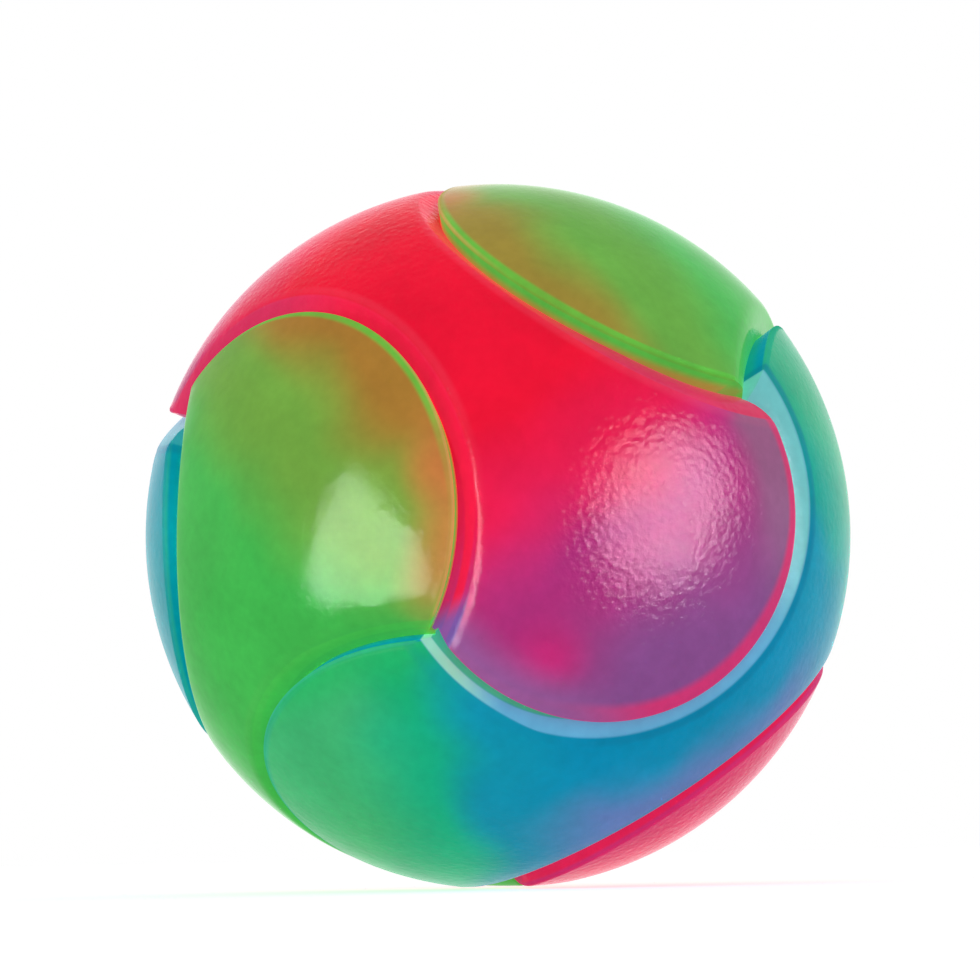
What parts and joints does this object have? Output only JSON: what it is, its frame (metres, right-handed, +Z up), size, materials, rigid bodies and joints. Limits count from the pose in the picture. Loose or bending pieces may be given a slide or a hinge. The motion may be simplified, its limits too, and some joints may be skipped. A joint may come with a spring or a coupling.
{
  "type": "light-up dog ball",
  "caption": "Round dog toy of interlocking soft translucent panels in red, green and blue, lapped around a sealed core whose lamps flash when it is thrown or bounced.",
  "frame": {"origin": "the middle of the ball", "axes": "+Z up through the dimple where the three upper panels meet; the ball stands on the opposite dimple; -Y towards the side that the picture shows, so +X is to the right"},
  "size_m": [0.07, 0.0698, 0.0698],
  "materials": {
    "red_rubber": "translucent soft rubber, satin with a fine pebble grain",
    "green_rubber": "translucent soft rubber, satin with a fine pebble grain",
    "blue_rubber": "translucent soft rubber, satin with a fine pebble grain",
    "milky_plastic": "milky translucent moulded plastic",
    "ring_rubber": "matt black sealing rubber",
    "cell_steel": "plain nickel-plated steel",
    "spring_steel": "plated spring wire",
    "contact_brass": "bright sheet brass",
    "board_laminate": "green lacquered glass-fibre laminate",
    "screw_steel": "zinc-plated steel",
    "red_lamp_resin": "clear red resin",
    "green_lamp_resin": "clear green resin",
    "blue_lamp_resin": "clear blue resin",
    "chip_resin": "black potting resin",
    "pin_brass": "bright turned brass",
    "coil_steel": "plated spring wire"
  },
  "bodies": {
    "ball": {"red_upper_panel": "red_rubber", "red_lower_panel": "red_rubber", "green_upper_panel": "green_rubber", "green_lower_panel": "green_rubber", "blue_upper_panel": "blue_rubber", "blue_lower_panel": "blue_rubber", "core_upper_shell": "milky_plastic", "core_lower_shell": "milky_plastic", "core_seal_ring": "ring_rubber", "bottom_cell": "cell_steel", "middle_cell": "cell_steel", "top_cell": "cell_steel", "cell_spring": "spring_steel", "negative_strap": "contact_brass", "positive_contact": "contact_brass", "circuit_board": "board_laminate", "board_screw_1": "screw_steel", "board_screw_2": "screw_steel", "board_screw_3": "screw_steel", "red_lamp": "red_lamp_resin", "green_lamp": "green_lamp_resin", "blue_lamp": "blue_lamp_resin", "flasher_chip": "chip_resin", "shock_pin": "pin_brass"},
    "shock_coil": {"shock_spring": "coil_steel"}
  },
  "joints": [
    {"name": "shock_coil_sway", "type": "hinge", "parent": "ball", "child": "shock_coil", "pos_m": [0, 0, 0.0005], "axis": [0, 1, 0], "range_deg": [-6, 6], "stiffness_Nm_per_rad": 0.00009}
  ]
}
